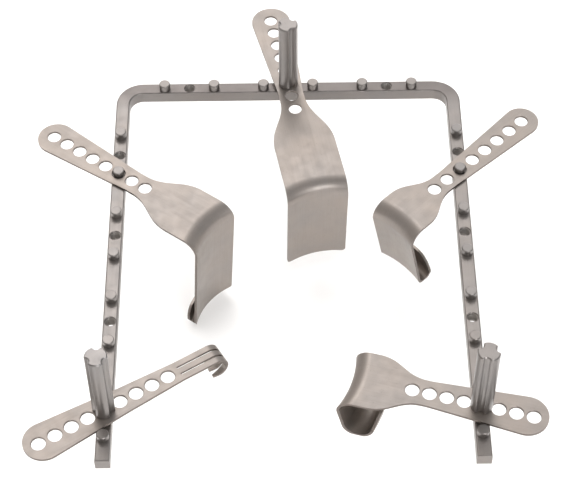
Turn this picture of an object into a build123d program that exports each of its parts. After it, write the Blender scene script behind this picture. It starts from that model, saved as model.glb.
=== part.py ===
"""Self-retaining wound retractor: pegged U frame, five perforated blades, three clamp screws.

Millimetres, +Z up.  The frame's underside lies on z = 0 and the origin is the centre of the
two rows of leg pegs.  The top bar is on the +Y side, the open end of the U on the -Y side.
"""
from build123d import *
from math import acos, atan2, cos, hypot, radians, sin
import os

os.makedirs("parts", exist_ok=True)

# ---------------------------------------------------------------- driving dimensions
BAR = 8.0                 # square bar stock
BAR_EDGE = 0.8            # rounding along the bar
LEG_X = 100.0             # leg centreline
TOP_Y = 143.0             # top bar centreline
END_Y = -119.0            # square-cut leg ends
CORNER_R = 12.0           # centreline radius of the two bends
PITCH = 30.0              # peg to peg, and hole to hole

PEG_R = 3.25
PEG_H = 4.5
PEG_CHAMFER = 0.45
TOP_PEG_X = [-75, -45, -15, 15, 45, 75]
LEG_PEG_Y = [105 - PITCH * i for i in range(8)]

TAP_R = 3.05              # M6 tapped holes, shown at the thread's crest
TAP_SINK = 0.35
TOP_TAP_X = [-60, 0, 60]
CLAMP_Y = -90.0           # last tapped hole of each leg, where a blade is clamped
LEG_TAP_Y = [90, 30, -30, CLAMP_Y]

SHEET = 1.5               # blade sheet
SHEET_TOP = BAR + SHEET
COLLAR = 2.5              # spacer under each clamped blade
COLLAR_R = 5.2
CLAMP_TOP = SHEET_TOP + COLLAR
HOLE_R = 3.9              # adjustment holes in the blades
HOLE_RIM = 0.25

GRIP_L = 50.5
GRIP_R = 6.0
FLUTE_R = 2.1             # three U flutes leave three broad lobes
FLUTE_AT = 6.3
LOBE_EASE = 0.8
GRIP_BEVEL = 0.6
STUD_R = 2.95             # M6 stud
STUD_TIP = -1.0
SPIGOT_R = 2.4
SPIGOT_TOP = 20.5
SPIGOT_GAP = 0.05


def save(part, name):
    part.label = name
    export_step(part, f"parts/{name}.step")


# ---------------------------------------------------------------- frame
with BuildPart() as frame_bar:
    with BuildSketch():
        with BuildLine():
            out_x = LEG_X + BAR / 2
            in_x = LEG_X - BAR / 2
            out_y = TOP_Y + BAR / 2
            in_y = TOP_Y - BAR / 2
            FilletPolyline(
                (-out_x, END_Y), (-out_x, out_y), (out_x, out_y), (out_x, END_Y),
                radius=CORNER_R + BAR / 2,
            )
            FilletPolyline(
                (-in_x, END_Y), (-in_x, in_y), (in_x, in_y), (in_x, END_Y),
                radius=CORNER_R - BAR / 2,
            )
            Line((-out_x, END_Y), (-in_x, END_Y))
            Line((out_x, END_Y), (in_x, END_Y))
        make_face()
    extrude(amount=BAR)
    long_edges = frame_bar.edges().filter_by(Axis.Z, reverse=True)
    fillet(long_edges, BAR_EDGE)
    tap_spots = [(x, TOP_Y) for x in TOP_TAP_X]
    tap_spots += [(side * LEG_X, y) for side in (-1, 1) for y in LEG_TAP_Y]
    with BuildSketch():
        with Locations(*tap_spots):
            Circle(TAP_R)
    extrude(amount=BAR, mode=Mode.SUBTRACT)
    mouths = frame_bar.edges().filter_by(GeomType.CIRCLE)
    mouths = mouths.filter_by(lambda e: abs(e.radius - TAP_R) < 0.01)
    mouths = mouths.filter_by_position(Axis.Z, BAR - 0.1, BAR + 0.1)
    chamfer(mouths, TAP_SINK)
save(frame_bar.part, "frame_bar")


def save_peg(name, x, y):
    with BuildPart() as peg:
        with BuildSketch(Plane.XY.offset(BAR)):
            with Locations((x, y)):
                Circle(PEG_R)
        extrude(amount=PEG_H)
        chamfer(peg.edges().group_by(Axis.Z)[-1], PEG_CHAMFER)
    save(peg.part, name)


for number, peg_x in enumerate(TOP_PEG_X, 1):
    save_peg(f"peg_top_{number}", peg_x, TOP_Y)
for number, peg_y in enumerate(LEG_PEG_Y, 1):
    save_peg(f"peg_left_{number}", -LEG_X, peg_y)
    save_peg(f"peg_right_{number}", LEG_X, peg_y)


def save_collar(name, x, y):
    with BuildPart() as collar:
        with BuildSketch(Plane.XY.offset(BAR)):
            with Locations((x, y)):
                Circle(COLLAR_R)
                Circle(TAP_R, mode=Mode.SUBTRACT)
        extrude(amount=COLLAR)
        outer = collar.edges().filter_by(GeomType.CIRCLE)
        chamfer(outer.filter_by(lambda e: e.radius > TAP_R + 0.1), 0.3)
    save(collar.part, name)


save_collar("collar_top", 0, TOP_Y)
save_collar("collar_left", -LEG_X, CLAMP_Y)
save_collar("collar_right", LEG_X, CLAMP_Y)


# ---------------------------------------------------------------- blades
# A blade is drawn along +X with its pivot hole on the origin: +X points into the wound, the
# rounded finger end lies on -X.  It is then turned to its heading and set on its pivot; the
# three clamped blades are lifted on their collars.

def handle_curves(end_u, end_r, waist_u, waist_hw):
    """Half the handle's edge: round end, then a straight taper to the waist."""
    centre = end_u + end_r
    reach = hypot(waist_u - centre, waist_hw)
    lean = atan2(waist_u - centre, waist_hw) - acos(end_r / reach)
    touch = (centre + end_r * sin(lean), end_r * cos(lean))
    halfway = (centre - end_r * cos(radians(45)), end_r * sin(radians(45)))
    ThreePointArc((end_u, 0), halfway, touch)
    Line(touch, (waist_u, waist_hw))


def curled_lip(curl, lip_end, dish, face_u, half_width, lip_len, lip_corner_r):
    """The free edge of a curl on its own: its corners are rounded right through."""
    with BuildPart() as lip:
        with BuildSketch(Plane.XZ):
            with BuildLine():
                Line(curl @ 1, lip_end)
            trace(line_width=SHEET)
        revolve(axis=dish)
        with Locations((face_u, 0, lip_end.Y)):
            Box(90, 2 * half_width, 3 * lip_len + 4, mode=Mode.INTERSECT)
        lip_v = half_width - lip_corner_r
        with BuildSketch(Plane.YZ.offset(face_u - 50)):
            with Locations((-half_width, lip_end.Y + 0.5), (half_width, lip_end.Y + 0.5)):
                Rectangle(2 * lip_corner_r, 2 * lip_corner_r + 1)
            with Locations((-lip_v, lip_end.Y - lip_corner_r), (lip_v, lip_end.Y - lip_corner_r)):
                Circle(lip_corner_r, mode=Mode.SUBTRACT)
        extrude(amount=80, mode=Mode.SUBTRACT)
    return lip.part


def scoop_blade(
    name, pivot, heading, pitch, holes_out, holes_in, end_u, end_r, waist_u, waist_hw,
    flare_from, flare_to, half_width, bend_u, bend_r, dish_r, dish_v,
    bottom_z, rake, curl_r, lip_lean, lip_len, corner_r, lip_corner_r, lift=0.0,
):
    """Flat handle, bend, dished plate and outward-curled lip (curl_r 0: none), one sheet."""
    face_u = bend_u + bend_r
    dish_u = face_u + dish_r
    lean = radians(rake)
    mid_z = BAR + SHEET / 2
    bend_mid = bend_r - SHEET / 2
    curl_mid = curl_r - SHEET / 2
    bend_end_z = mid_z - bend_mid * (1 + sin(lean))
    curl_top_z = bottom_z + curl_r - curl_mid * sin(lean) if curl_r else bottom_z
    plate_len = (bend_end_z - curl_top_z) / cos(lean)
    back_u = bend_u - 40

    dish = Axis((dish_u, dish_v, 0), (0, 0, 1))

    # the sheet's centreline on the plate's middle section: bend, plate, curl and lip
    bend = JernArc((bend_u, mid_z), (1, 0), bend_mid, -(90 + rake))
    plate = Line(bend @ 1, (bend @ 1) + (bend % 1) * plate_len)
    if curl_r:
        curl = JernArc(plate @ 1, plate % 1, curl_mid, -(180 - rake - lip_lean))
        lip_end = (curl @ 1) + (curl % 1) * lip_len
        lip = curled_lip(curl, lip_end, dish, face_u, half_width, lip_len, lip_corner_r)

    with BuildPart() as blade:
        # dished plate with its bend and its curl: the sheet's section swept round the dish axis
        with BuildSketch(Plane.XZ):
            with BuildLine():
                Line((bend_u - 4, mid_z), (bend_u, mid_z))
                add(bend)
                add(plate)
                if curl_r:
                    add(curl)
            trace(line_width=SHEET)
        revolve(axis=dish)
        with Locations((face_u, 0, (SHEET_TOP + bottom_z) / 2)):
            Box(90, 2 * half_width, SHEET_TOP - bottom_z + 4, mode=Mode.INTERSECT)
        if curl_r:
            add(lip)

        # rounded corners at the foot of the plate
        foot = bottom_z + corner_r
        side_v = half_width - corner_r
        with BuildSketch(Plane.YZ.offset(back_u)):
            with Locations((-half_width, bottom_z), (half_width, bottom_z)):
                Rectangle(2 * corner_r, 2 * corner_r)
            with Locations((-side_v, foot), (side_v, foot)):
                Circle(corner_r, mode=Mode.SUBTRACT)
        extrude(amount=80, mode=Mode.SUBTRACT)

        # flat handle, up to where the bend starts
        with BuildSketch(Plane.XY.offset(BAR)):
            with BuildLine():
                handle_curves(end_u, end_r, waist_u, waist_hw)
                Line((waist_u, waist_hw), (flare_from, waist_hw))
                Spline(
                    (flare_from, waist_hw), (flare_to, half_width),
                    tangents=((1, 0), (1, 0)),
                )
                Line((flare_to, half_width), (face_u + 14, half_width))
                Line((face_u + 14, half_width), (face_u + 14, 0))
                mirror(about=Plane.XZ)
            make_face()
            with Locations((dish_u, dish_v)):
                Circle(dish_r + bend_r + 2, mode=Mode.SUBTRACT)
        extrude(amount=SHEET)
        drill_handle(blade, pitch, holes_out, holes_in)
    place_and_save(blade.part, name, pivot, heading, lift)


def drill_handle(blade, pitch, holes_out, holes_in):
    """The row of adjustment holes, rims eased; the hole on the origin takes peg or screw."""
    steps = range(-holes_out, holes_in + 1)
    with Locations(*[(step * pitch, 0, BAR + SHEET / 2) for step in steps]):
        Cylinder(HOLE_R, 2 * SHEET, mode=Mode.SUBTRACT)
    rims = blade.edges().filter_by(GeomType.CIRCLE)
    rims = rims.filter_by(lambda e: abs(e.radius - HOLE_R) < 0.01)
    chamfer(rims, HOLE_RIM)


def place_and_save(part, name, pivot, heading, lift=0.0):
    save(Location((pivot[0], pivot[1], lift), (0, 0, heading)) * part, name)


scoop_blade(
    "blade_top", pivot=(0, TOP_Y), heading=-79.0, pitch=10.75, holes_out=5, holes_in=2,
    end_u=-64.3, end_r=11.9, waist_u=8, waist_hw=7.5, flare_from=13, flare_to=50,
    half_width=18.2, bend_u=75.2, bend_r=8.8, dish_r=45, dish_v=3,
    bottom_z=-57, rake=3.3, curl_r=0, lip_lean=0, lip_len=0, corner_r=2.8, lip_corner_r=0,
    lift=COLLAR,
)
scoop_blade(
    "blade_left", pivot=(-LEG_X, 75), heading=-36.0, pitch=9.8, holes_out=5, holes_in=2,
    end_u=-58.3, end_r=11.1, waist_u=11, waist_hw=7.4, flare_from=15, flare_to=48,
    half_width=17.8, bend_u=57.4, bend_r=9, dish_r=38, dish_v=0,
    bottom_z=-72.3, rake=3.3, curl_r=3.1, lip_lean=0, lip_len=8, corner_r=4, lip_corner_r=6,
)
scoop_blade(
    "blade_right", pivot=(LEG_X, 75), heading=-136.7, pitch=10.8, holes_out=5, holes_in=2,
    end_u=-64.2, end_r=10.3, waist_u=10, waist_hw=6.8, flare_from=15.5, flare_to=42,
    half_width=15.5, bend_u=45.1, bend_r=9, dish_r=48, dish_v=0,
    bottom_z=-45.4, rake=12, curl_r=5.2, lip_lean=-6, lip_len=9, corner_r=0.8, lip_corner_r=12,
)
scoop_blade(
    "blade_scoop", pivot=(LEG_X, CLAMP_Y), heading=164.2, pitch=9.4, holes_out=3, holes_in=4,
    end_u=-36.2, end_r=11.8, waist_u=28, waist_hw=7.9, flare_from=31, flare_to=59,
    half_width=17.4, bend_u=62.6, bend_r=8.5, dish_r=60, dish_v=-4,
    bottom_z=-20.2, rake=13, curl_r=8.5, lip_lean=8, lip_len=11, corner_r=0.8, lip_corner_r=14,
    lift=COLLAR,
)

# three-pronged rake: a narrowing strip, two slots, the prongs hooked down and back
RAKE_END_U = -47.2
RAKE_END_R = 11.4
RAKE_NECK_U = 10
RAKE_NECK_HW = 8.0
RAKE_PRONG_W = 3.35
RAKE_SLOT_W = 1.1
RAKE_HW = (3 * RAKE_PRONG_W + 2 * RAKE_SLOT_W) / 2
RAKE_SLOT_U = 45.8
RAKE_BEND_U = 65.8
RAKE_BEND_R = 7.2
RAKE_HOOK = 172
RAKE_TIP = 3.0
RAKE_POINT_W = 1.2

with BuildPart() as blade_rake:
    rake_mid_z = BAR + SHEET / 2
    with BuildSketch(Plane.XZ):
        with BuildLine():
            shank = Line((RAKE_SLOT_U, rake_mid_z), (RAKE_BEND_U, rake_mid_z))
            hook = JernArc(shank @ 1, (1, 0), RAKE_BEND_R - SHEET / 2, -RAKE_HOOK)
            Line(hook @ 1, (hook @ 1) + (hook % 1) * RAKE_TIP)
        trace(line_width=SHEET)
    extrude(amount=RAKE_HW, both=True)
    with BuildSketch(Plane.XY.offset(BAR)):
        with BuildLine():
            handle_curves(RAKE_END_U, RAKE_END_R, RAKE_NECK_U, RAKE_NECK_HW)
            Line((RAKE_NECK_U, RAKE_NECK_HW), (RAKE_SLOT_U, RAKE_HW))
            Line((RAKE_SLOT_U, RAKE_HW), (RAKE_BEND_U, RAKE_HW))
            Line((RAKE_BEND_U, RAKE_HW), (RAKE_BEND_U, 0))
            mirror(about=Plane.XZ)
        make_face()
    extrude(amount=SHEET)
    slot_v = (RAKE_PRONG_W + RAKE_SLOT_W) / 2
    slot_len = RAKE_BEND_R + 40
    with BuildSketch(Plane.XY.offset(BAR - 2 * RAKE_BEND_R)):
        for side in (-1, 1):
            with Locations((RAKE_SLOT_U + RAKE_SLOT_W / 2, side * slot_v)):
                Circle(RAKE_SLOT_W / 2)
            with Locations((RAKE_SLOT_U + RAKE_SLOT_W / 2 + slot_len / 2, side * slot_v)):
                Rectangle(slot_len, RAKE_SLOT_W)
    extrude(amount=4 * RAKE_BEND_R, mode=Mode.SUBTRACT)
    # each prong narrows to its point below the hook
    hook_z = SHEET_TOP - RAKE_BEND_R
    with BuildSketch(Plane.XY.offset(SHEET_TOP - 2 * RAKE_BEND_R - 1)):
        for prong in (-1, 0, 1):
            prong_v = prong * (RAKE_PRONG_W + RAKE_SLOT_W)
            for side in (-1, 1):
                edge_v = prong_v + side * RAKE_PRONG_W / 2
                point_v = prong_v + side * RAKE_POINT_W / 2
                with BuildLine():
                    Polyline(
                        (RAKE_BEND_U + 3, edge_v), (RAKE_BEND_U - 3, point_v),
                        (RAKE_BEND_U - 3, edge_v + side * 0.1),
                        (RAKE_BEND_U + 3, edge_v + side * 0.1),
                        close=True,
                    )
                make_face()
    extrude(amount=RAKE_BEND_R, mode=Mode.SUBTRACT)
    drill_handle(blade_rake, pitch=9.75, holes_out=4, holes_in=4)
place_and_save(blade_rake.part, "blade_rake", (-LEG_X, CLAMP_Y), 31.6, COLLAR)


# ---------------------------------------------------------------- clamp screws
def clamp_screw(name, x, y, turn):
    """Three-lobed grip standing on its blade, and the stud it carries into the bar."""
    with BuildPart() as grip:
        with BuildSketch(Plane.XY.offset(CLAMP_TOP)) as lobes:
            Circle(GRIP_R)
            with PolarLocations(FLUTE_AT, 3, start_angle=turn):
                Circle(FLUTE_R, mode=Mode.SUBTRACT)
            fillet(lobes.vertices(), LOBE_EASE)
        extrude(amount=GRIP_L)
        chamfer(grip.faces().sort_by(Axis.Z)[-1].edges(), GRIP_BEVEL)
        chamfer(grip.faces().sort_by(Axis.Z)[0].edges(), 0.4)
        with BuildSketch(Plane.XY.offset(CLAMP_TOP)):
            Circle(SPIGOT_R + SPIGOT_GAP)
        extrude(amount=SPIGOT_TOP + 0.2 - CLAMP_TOP, mode=Mode.SUBTRACT)
    save(Location((x, y, 0)) * grip.part, f"grip_{name}")

    with BuildPart() as stud:
        with BuildSketch(Plane.XY.offset(STUD_TIP)):
            Circle(STUD_R)
        extrude(amount=CLAMP_TOP - STUD_TIP)
        chamfer(stud.edges().group_by(Axis.Z)[0], 0.6)
        with BuildSketch(Plane.XY.offset(CLAMP_TOP)):
            Circle(SPIGOT_R)
        extrude(amount=SPIGOT_TOP - CLAMP_TOP)
    save(Location((x, y, 0)) * stud.part, f"stud_{name}")


clamp_screw("top", 0, TOP_Y, turn=60)
clamp_screw("left", -LEG_X, CLAMP_Y, turn=90)
clamp_screw("right", LEG_X, CLAMP_Y, turn=15)
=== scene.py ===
"""Self-retaining frame retractor: looks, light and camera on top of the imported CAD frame."""

import math

import bmesh
import bpy
from mathutils import Matrix, Vector


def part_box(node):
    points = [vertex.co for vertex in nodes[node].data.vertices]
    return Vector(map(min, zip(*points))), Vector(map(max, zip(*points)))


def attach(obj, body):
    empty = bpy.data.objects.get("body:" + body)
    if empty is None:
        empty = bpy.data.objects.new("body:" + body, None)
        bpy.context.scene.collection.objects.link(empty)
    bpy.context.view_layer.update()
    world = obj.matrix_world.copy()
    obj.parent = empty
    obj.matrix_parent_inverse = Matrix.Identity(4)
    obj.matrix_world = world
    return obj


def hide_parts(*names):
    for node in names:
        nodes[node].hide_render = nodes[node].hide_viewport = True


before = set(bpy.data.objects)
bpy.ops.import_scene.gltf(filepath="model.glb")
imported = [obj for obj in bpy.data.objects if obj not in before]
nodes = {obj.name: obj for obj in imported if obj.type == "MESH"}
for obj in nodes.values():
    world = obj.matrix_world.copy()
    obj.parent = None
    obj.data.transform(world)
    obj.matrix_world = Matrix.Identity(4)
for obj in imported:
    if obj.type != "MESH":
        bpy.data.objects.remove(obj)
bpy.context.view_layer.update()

MM = 0.001
TOP_Y = 143 * MM
LEG_X = 100 * MM
CLAMP_Y = -90 * MM
CLAMP_TOP = 12.0 * MM
BAR_TOP = 8.0 * MM
FLOOR_Z = -78.0 * MM
FLOOR_REACH = 6

PEG_WIDTH = 6.5 * MM
EASED_EDGE = 0.35 * MM

# drawn grain, in waves per metre
GRAIN_ACROSS, GRAIN_ALONG = 2600, 45

# screw threads: pitch, the steps over which a ridge fades at its ends, and where a tap's thread lies
THREAD = 1.0 * MM
FADE_STEPS = 10
TAP_LOW, TAP_HIGH = 0.8 * MM, 7.3 * MM

# radii of a stud: its tip, the root of its thread, its shoulder and the neck inside the grip
STUD_TIP, STUD_ROOT, STUD_SHOULDER, STUD_NECK = 1.9 * MM, 2.5 * MM, 2.9 * MM, 2.4 * MM

# the way each blade's handle runs, in degrees from +X
BLADES = {
    "blade_top": -79.0,
    "blade_left": -36.0,
    "blade_right": -136.7,
    "blade_scoop": 164.2,
    "blade_rake": 31.6,
}
SCREWS = {"top": (0, TOP_Y), "left": (-LEG_X, CLAMP_Y), "right": (LEG_X, CLAMP_Y)}
FREE_TAPS = [(x, TOP_Y) for x in (-60 * MM, 60 * MM)]
FREE_TAPS += [(side * LEG_X, y * MM) for side in (-1, 1) for y in (90, 30, -30)]


# ---------------------------------------------------------------- materials
class Graph:
    """Short names for the node types the steels are made of."""

    def __init__(self, material):
        material.use_nodes = True
        self.tree = material.node_tree
        self.tree.nodes.clear()

    def node(self, kind, **settings):
        made = self.tree.nodes.new(kind)
        for key, value in settings.items():
            setattr(made, key, value)
        return made

    def link(self, source, target):
        self.tree.links.new(source, target)

    def feed(self, socket, value):
        if isinstance(value, bpy.types.NodeSocket):
            self.link(value, socket)
        else:
            socket.default_value = value

    def math(self, operation, a, b=0.0, clamp=False):
        made = self.node("ShaderNodeMath", operation=operation, use_clamp=clamp)
        self.feed(made.inputs[0], a)
        self.feed(made.inputs[1], b)
        return made.outputs[0]

    def apart(self, vector):
        made = self.node("ShaderNodeSeparateXYZ")
        self.link(vector, made.inputs[0])
        return made.outputs

    def dot(self, vector, direction):
        made = self.node("ShaderNodeVectorMath", operation="DOT_PRODUCT")
        self.link(vector, made.inputs[0])
        made.inputs[1].default_value = direction
        return made.outputs["Value"]

    def mapped(self, vector, scale=(1, 1, 1), turn=0.0, shift=(0, 0, 0)):
        moved = self.node("ShaderNodeMapping", vector_type="TEXTURE")
        moved.inputs["Location"].default_value = shift
        moved.inputs["Rotation"].default_value = (0, 0, turn)
        self.link(vector, moved.inputs["Vector"])
        sized = self.node("ShaderNodeVectorMath", operation="MULTIPLY")
        self.link(moved.outputs[0], sized.inputs[0])
        sized.inputs[1].default_value = scale
        return sized.outputs[0]

    def noise(self, vector, scale=1.0, detail=2.0, rough=0.5):
        made = self.node("ShaderNodeTexNoise")
        self.link(vector, made.inputs["Vector"])
        made.inputs["Scale"].default_value = scale
        made.inputs["Detail"].default_value = detail
        made.inputs["Roughness"].default_value = rough
        return made.outputs["Fac"]

    def span(self, value, low, high, out_low=0.0, out_high=1.0):
        made = self.node("ShaderNodeMapRange")
        self.link(value, made.inputs["Value"])
        numbers = {"From Min": low, "From Max": high, "To Min": out_low, "To Max": out_high}
        for key, number in numbers.items():
            made.inputs[key].default_value = number
        return made.outputs[0]

    def mix(self, factor, a, b):
        made = self.node("ShaderNodeMix", data_type="RGBA")
        self.feed(made.inputs["Factor"], factor)
        self.feed(made.inputs["A"], a)
        self.feed(made.inputs["B"], b)
        return made.outputs["Result"]

    def blend(self, factor, a, b):
        made = self.node("ShaderNodeMix", data_type="FLOAT")
        self.feed(made.inputs["Factor"], factor)
        self.feed(made.inputs["A"], a)
        self.feed(made.inputs["B"], b)
        return made.outputs["Result"]


def shade(tint, red, green, blue):
    """The tint with each channel scaled, as an opaque colour."""
    return (tint[0] * red, tint[1] * green, tint[2] * blue, 1)


def grain_noise(g, here, grain):
    """Fine drawn lines, broad streaks the same way, and for "bar" where the top bar lies."""
    across, along = GRAIN_ACROSS, GRAIN_ALONG
    on_top = None
    if grain == "z":
        drawn = g.noise(g.mapped(here, scale=(across, across, along)), detail=3)
        broad = g.noise(g.mapped(here, scale=(700, 700, 16)), detail=2)
    elif grain == "bar":
        on_top = g.span(g.apart(here)["Y"], TOP_Y - 16 * MM, TOP_Y - 4 * MM)
        legs = g.noise(g.mapped(here, scale=(across, along, across)), detail=3)
        bar = g.noise(g.mapped(here, scale=(along, across, across)), detail=3)
        drawn = g.blend(on_top, legs, bar)
        legs_broad = g.noise(g.mapped(here, scale=(600, 18, 600)), detail=2)
        bar_broad = g.noise(g.mapped(here, scale=(18, 600, 600)), detail=2)
        broad = g.blend(on_top, legs_broad, bar_broad)
    else:
        turn = math.radians(grain)
        drawn = g.noise(g.mapped(here, scale=(along, across, along), turn=turn), detail=3)
        broad = g.noise(g.mapped(here, scale=(22, 420, 22), turn=turn), detail=2)
    return drawn, broad, on_top


def tool_marks(g, here, centre):
    """Rings round the middle of a turned end face."""
    if centre == "own":
        own = g.node("ShaderNodeTexCoord").outputs["Generated"]
        flat = g.mapped(own, scale=(PEG_WIDTH, PEG_WIDTH, 0), shift=(0.5, 0.5, 0))
    else:
        flat = g.mapped(here, scale=(1, 1, 0), shift=(centre[0], centre[1], 0))
    away = g.node("ShaderNodeVectorMath", operation="LENGTH")
    g.link(flat, away.inputs[0])
    radius = g.node("ShaderNodeCombineXYZ")
    g.link(away.outputs["Value"], radius.inputs[0])
    return g.noise(g.mapped(radius.outputs[0], scale=(3800, 1, 1)), detail=2)


def scratches(g, shifted, seed):
    """A few stray hairlines, running two ways, in patches."""
    first_way = math.radians(27 + seed * 900)
    hair = g.noise(g.mapped(shifted, scale=(3400, 55, 900), turn=first_way), detail=1)
    other = g.noise(g.mapped(shifted, scale=(3000, 70, 800), turn=math.radians(-48)), detail=1)
    lines = g.math("MAXIMUM", g.span(hair, 0.72, 0.76), g.span(other, 0.735, 0.77))
    patchy = g.span(g.noise(shifted, scale=70, detail=2), 0.52, 0.66)
    return g.math("MULTIPLY", lines, patchy)


def painted_edge_shade(g, here, own_normal, upright, grain):
    """Painted shade on the sides of a blade's sheet and on every wall within its flat handle."""
    turn = math.radians(grain)
    sideways = g.dot(own_normal, (-math.sin(turn), math.cos(turn), 0))
    side = g.span(g.math("ABSOLUTE", sideways), 0.62, 0.9)
    in_flat = g.span(g.apart(here)["Z"], BAR_TOP - 1.0 * MM, BAR_TOP - 0.2 * MM)
    wall = g.span(g.math("ABSOLUTE", upright), 0.55, 0.25)
    return g.math("MAXIMUM", side, g.math("MULTIPLY", in_flat, wall))


def steel(name, tint, rough, grain, centre=None, seed=0.0, sheet=False):
    """Satin stainless steel.

    grain is the drawn direction: a turn in degrees for sheet, "z" for the fluted grips,
    "bar" for the bent frame, with painted shade on the top bar's upper face.  centre gives a turned
    end face its concentric tool marks.
    sheet paints shade on the sides of a blade's sheet and on the walls within its flat handle.
    """
    material = bpy.data.materials.new(name)
    g = Graph(material)
    here = g.node("ShaderNodeTexCoord").outputs["Object"]
    own_normal = g.node("ShaderNodeTexCoord").outputs["Normal"]
    upright = g.apart(own_normal)["Z"]
    shifted = g.mapped(here, shift=(seed, -seed * 0.7, seed * 1.3))

    drawn, broad, on_top = grain_noise(g, here, grain)
    if centre is not None:
        end_face = g.span(g.math("ABSOLUTE", upright), 0.9, 0.98)
        drawn = g.blend(end_face, drawn, tool_marks(g, here, centre))

    # cloudy handling marks, small pits and a few stray hairline scratches
    cloud = g.noise(shifted, scale=38, detail=4, rough=0.55)
    smudge = g.noise(shifted, scale=150, detail=3, rough=0.6)
    pits = g.span(g.noise(shifted, scale=1900, detail=1), 0.70, 0.78)
    lines = scratches(g, shifted, seed)

    colour = g.mix(g.span(cloud, 0.34, 0.66), (*tint, 1), shade(tint, 0.93, 0.965, 1.0))
    colour = g.mix(g.span(drawn, 0.38, 0.74, 0.0, 0.22), colour, shade(tint, 0.84, 0.83, 0.82))
    colour = g.mix(g.math("MULTIPLY", pits, 0.6), colour, shade(tint, 0.5, 0.5, 0.5))
    colour = g.mix(g.math("MULTIPLY", lines, 0.55), colour, shade(tint, 1.25, 1.25, 1.25))
    # painted shade on the sides of a blade's sheet and the walls within its flat handle
    if sheet:
        edge_shade = painted_edge_shade(g, here, own_normal, upright, grain)
        colour = g.mix(g.math("MULTIPLY", edge_shade, 0.85), colour, shade(tint, 0.42, 0.40, 0.39))
    if grain == "bar":
        # painted shade: the upper face of the top bar is darkened so it reads darker than the legs
        painted_top_shade = g.math("MULTIPLY", on_top, g.span(upright, 0.5, 0.9))
        colour = g.mix(painted_top_shade, colour, shade(tint, 0.66, 0.66, 0.675))

    roughness = g.span(drawn, 0.3, 0.7, rough - 0.02, rough + 0.03)
    roughness = g.math("ADD", roughness, g.span(smudge, 0.35, 0.68, -0.025, 0.045))
    roughness = g.math("ADD", roughness, g.span(broad, 0.35, 0.65, -0.01, 0.01))
    roughness = g.math("SUBTRACT", roughness, g.math("MULTIPLY", lines, 0.08), clamp=True)

    height = g.math("ADD", drawn, g.math("MULTIPLY", broad, 0.12))
    height = g.math("SUBTRACT", height, g.math("MULTIPLY", lines, 0.6))
    height = g.math("SUBTRACT", height, g.math("MULTIPLY", pits, 0.8))
    bump = g.node("ShaderNodeBump")
    bump.inputs["Strength"].default_value = 0.05
    bump.inputs["Distance"].default_value = 0.00012
    g.link(height, bump.inputs["Height"])

    shader = g.node("ShaderNodeBsdfPrincipled")
    shader.inputs["Metallic"].default_value = 0.90
    g.link(colour, shader.inputs["Base Color"])
    g.link(roughness, shader.inputs["Roughness"])
    g.link(bump.outputs[0], shader.inputs["Normal"])
    out = g.node("ShaderNodeOutputMaterial")
    g.link(shader.outputs[0], out.inputs["Surface"])
    return material


def paint(obj, material):
    obj.data.materials.clear()
    obj.data.materials.append(material)


BLADE_TINT = (0.338, 0.297, 0.268)
BAR_TINT = (0.272, 0.247, 0.231)
# painted shade: the pegs and collars use a slightly darker copy of the bar's tint
PEG_SHADED_TINT = (0.262, 0.239, 0.224)
GRIP_TINT = (0.272, 0.250, 0.237)

bar_steel = steel("bar_steel", BAR_TINT, 0.36, "bar")
peg_steel = steel("peg_steel", PEG_SHADED_TINT, 0.34, "z", centre="own", seed=0.013)
thread_steel = steel("thread_steel", (0.50, 0.46, 0.43), 0.42, "z", seed=0.031)
for name, heading in BLADES.items():
    seed = 0.01 + 0.003 * len(name)
    paint(nodes[name], steel(name + "_steel", BLADE_TINT, 0.40, heading, seed=seed, sheet=True))
for key, spot in SCREWS.items():
    grip_steel = steel("grip_" + key + "_steel", GRIP_TINT, 0.33, "z", centre=spot, seed=0.02)
    paint(nodes["grip_" + key], grip_steel)
paint(nodes["frame_bar"], bar_steel)
for name, obj in nodes.items():
    if name.startswith(("peg_", "collar_")):
        paint(obj, peg_steel)


# ---------------------------------------------------------------- eased edges on the CAD pieces
def ease(obj, width, angle=35, segments=3):
    weld = obj.modifiers.new("weld", "WELD")
    weld.merge_threshold = 2e-6
    flat = obj.modifiers.new("flat", "DECIMATE")
    flat.decimate_type = "DISSOLVE"
    flat.angle_limit = math.radians(0.15)
    bevel = obj.modifiers.new("ease", "BEVEL")
    bevel.width = width
    bevel.segments = segments
    bevel.limit_method = "ANGLE"
    bevel.angle_limit = math.radians(angle)
    bevel.use_clamp_overlap = True
    bevel.miter_outer = "MITER_ARC"
    smooth = obj.modifiers.new("normals", "WEIGHTED_NORMAL")
    smooth.keep_sharp = True
    for face in obj.data.polygons:
        face.use_smooth = True


for name in BLADES:
    ease(nodes[name], EASED_EDGE)


# ---------------------------------------------------------------- threads
def add_piece(name, mesh, material, body):
    obj = bpy.data.objects.new(name, mesh)
    bpy.context.scene.collection.objects.link(obj)
    paint(obj, material)
    for face in mesh.polygons:
        face.use_smooth = True
    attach(obj, body)
    return obj


def helix_mesh(name, centre, profile, low, high, pitch, steps=28):
    """A ridge of the given (radius, height) profile wound round the vertical at centre."""
    mesh = bpy.data.meshes.new(name)
    bm = bmesh.new()
    turns = (high - low) / pitch
    count = int(turns * steps)
    root = profile[0][0]
    rows = []
    for i in range(count + 1):
        turn = 2 * math.pi * i / steps
        z = low + pitch * i / steps
        fade = min(1.0, i / FADE_STEPS, (count - i) / FADE_STEPS)
        row = []
        for radius, height in profile:
            r = root + (radius - root) * fade
            x = centre[0] + r * math.cos(turn)
            y = centre[1] + r * math.sin(turn)
            row.append(bm.verts.new((x, y, z + height)))
        rows.append(row)
    for a, b in zip(rows, rows[1:]):
        for j in range(len(profile)):
            k = (j + 1) % len(profile)
            bm.faces.new((a[j], a[k], b[k], b[j]))
    bm.faces.new(rows[0][::-1])
    bm.faces.new(rows[-1])
    bmesh.ops.recalc_face_normals(bm, faces=bm.faces)
    bm.to_mesh(mesh)
    bm.free()
    return mesh


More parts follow.
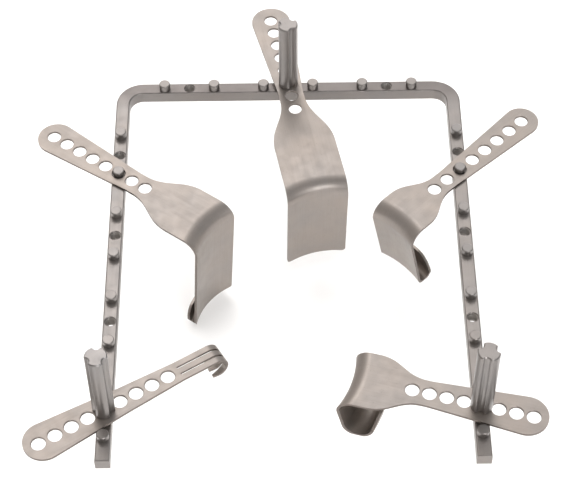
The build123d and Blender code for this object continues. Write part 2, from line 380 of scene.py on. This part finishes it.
inner_profile = [
    (3.12 * MM, -0.42 * MM), (2.66 * MM, -0.09 * MM), (2.66 * MM, 0.09 * MM), (3.12 * MM, 0.42 * MM),
]
for number, spot in enumerate(FREE_TAPS, 1):
    mesh = helix_mesh(f"tap_thread_{number}", spot, inner_profile, TAP_LOW, TAP_HIGH, THREAD)
    add_piece(f"tap_thread_{number}", mesh, thread_steel, "frame")


def turned_mesh(name, centre, outline, steps=64):
    """A closed turned part from (radius, z) points, first and last on the axis."""
    mesh = bpy.data.meshes.new(name)
    bm = bmesh.new()
    rings = []
    for radius, z in outline:
        if radius == 0:
            rings.append([bm.verts.new((centre[0], centre[1], z))])
            continue
        ring = []
        for i in range(steps):
            turn = 2 * math.pi * i / steps
            x = centre[0] + radius * math.cos(turn)
            y = centre[1] + radius * math.sin(turn)
            ring.append(bm.verts.new((x, y, z)))
        rings.append(ring)
    for a, b in zip(rings, rings[1:]):
        for i in range(steps):
            k = (i + 1) % steps
            if len(a) == 1:
                bm.faces.new((a[0], b[k], b[i]))
            elif len(b) == 1:
                bm.faces.new((a[i], a[k], b[0]))
            else:
                bm.faces.new((a[i], a[k], b[k], b[i]))
    bmesh.ops.recalc_face_normals(bm, faces=bm.faces)
    bm.to_mesh(mesh)
    bm.free()
    return mesh


outer_profile = [
    (2.42 * MM, -0.40 * MM), (2.92 * MM, -0.07 * MM), (2.92 * MM, 0.07 * MM), (2.42 * MM, 0.40 * MM),
]
for key, spot in SCREWS.items():
    low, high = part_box("stud_" + key)
    outline = [
        (0, low[2]), (STUD_TIP, low[2]), (STUD_ROOT, low[2] + 0.6 * MM),
        (STUD_ROOT, CLAMP_TOP - 1.4 * MM), (STUD_SHOULDER, CLAMP_TOP - 1.0 * MM),
        (STUD_SHOULDER, CLAMP_TOP), (STUD_NECK, CLAMP_TOP), (STUD_NECK, high[2]), (0, high[2]),
    ]
    core = add_piece(
        "stud_core_" + key, turned_mesh("stud_core_" + key, spot, outline, 48),
        thread_steel, "screw_" + key,
    )
    mesh = helix_mesh(
        "stud_thread_" + key, spot, outer_profile, low[2] + 0.7 * MM, CLAMP_TOP - 1.7 * MM, THREAD,
    )
    add_piece("stud_thread_" + key, mesh, thread_steel, "screw_" + key)
    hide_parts("stud_" + key)


# ---------------------------------------------------------------- floor and light
floor_mesh = bpy.data.meshes.new("floor")
floor_mesh.from_pydata(
    [(x * FLOOR_REACH, y * FLOOR_REACH, FLOOR_Z) for x, y in ((-1, -1), (1, -1), (1, 1), (-1, 1))],
    [], [(0, 1, 2, 3)],
)
floor = bpy.data.objects.new("floor", floor_mesh)
bpy.context.scene.collection.objects.link(floor)
floor_material = bpy.data.materials.new("floor_white")
floor_material.use_nodes = True
floor_shader = floor_material.node_tree.nodes["Principled BSDF"]
floor_shader.inputs["Base Color"].default_value = (0.93, 0.93, 0.93, 1)
floor_shader.inputs["Roughness"].default_value = 0.9
floor_shader.inputs["Specular IOR Level"].default_value = 0.0
floor.data.materials.append(floor_material)

world = bpy.data.worlds.new("studio")
bpy.context.scene.world = world
w = Graph(world)
facing = w.node("ShaderNodeTexCoord").outputs["Generated"]
sky = w.apart(facing)


def lobe(direction, power, strength):
    """A soft round panel of light in the given direction."""
    toward = w.math("MAXIMUM", w.dot(facing, Vector(direction).normalized()), 0.0)
    return w.math("MULTIPLY", w.math("POWER", toward, power), strength)


glow = w.span(sky["Z"], 0.1, 0.8, 0.60, 0.50)
for direction, power, strength in (
    ((-0.06, 0.57, 0.82), 8, 0.85),
    ((-0.110, 0.610, 0.785), 50, 3.5),
    ((0.30, -0.86, 0.42), 90, 12.0),
):
    glow = w.math("ADD", glow, lobe(direction, power, strength))
tone = w.mix(w.span(sky["X"], -0.6, 0.6), (1.0, 0.955, 0.92, 1), (0.97, 0.985, 1.0, 1))
back = w.node("ShaderNodeBackground")
w.link(tone, back.inputs["Color"])
w.link(glow, back.inputs["Strength"])
w.link(back.outputs[0], w.node("ShaderNodeOutputWorld").inputs["Surface"])


def area_light(name, at, aim, size, power, colour=(1, 1, 1)):
    data = bpy.data.lights.new(name, "AREA")
    data.shape = "DISK"
    data.size = size
    data.energy = power
    data.color = colour
    obj = bpy.data.objects.new(name, data)
    bpy.context.scene.collection.objects.link(obj)
    obj.location = at
    obj.rotation_euler = (Vector(aim) - Vector(at)).to_track_quat("-Z", "Y").to_euler()
    return obj


overhead = area_light("overhead", (-0.1, 0.15, 1.6), (0, 0.02, 0), 2.2, 31, (1.0, 0.985, 0.965))
overhead.visible_glossy = False

# ---------------------------------------------------------------- camera
LENS, SENSOR_WIDTH = 113.43, 36
YAW, PITCH, ROLL = 0.0038, 0.9125, -0.0088
CAMERA_AT = Vector((-3.9749, -606.555, 824.861)) * MM

camera_data = bpy.data.cameras.new("camera")
camera_data.lens = LENS
camera_data.sensor_width = SENSOR_WIDTH
camera_data.sensor_fit = "HORIZONTAL"
camera_data.clip_end = 20
camera = bpy.data.objects.new("camera", camera_data)
bpy.context.scene.collection.objects.link(camera)
ahead = Vector((math.sin(YAW) * math.cos(PITCH), math.cos(YAW) * math.cos(PITCH), -math.sin(PITCH)))
right = Vector((math.cos(YAW), -math.sin(YAW), 0))
up = right.cross(ahead)
side = math.cos(ROLL) * right + math.sin(ROLL) * up
rise = -math.sin(ROLL) * right + math.cos(ROLL) * up
placed = Matrix((side, rise, -ahead)).transposed().to_4x4()
placed.translation = CAMERA_AT
camera.matrix_world = placed
bpy.context.scene.camera = camera

bpy.context.scene.view_settings.view_transform = "Standard"
bpy.context.scene.view_settings.look = "None"
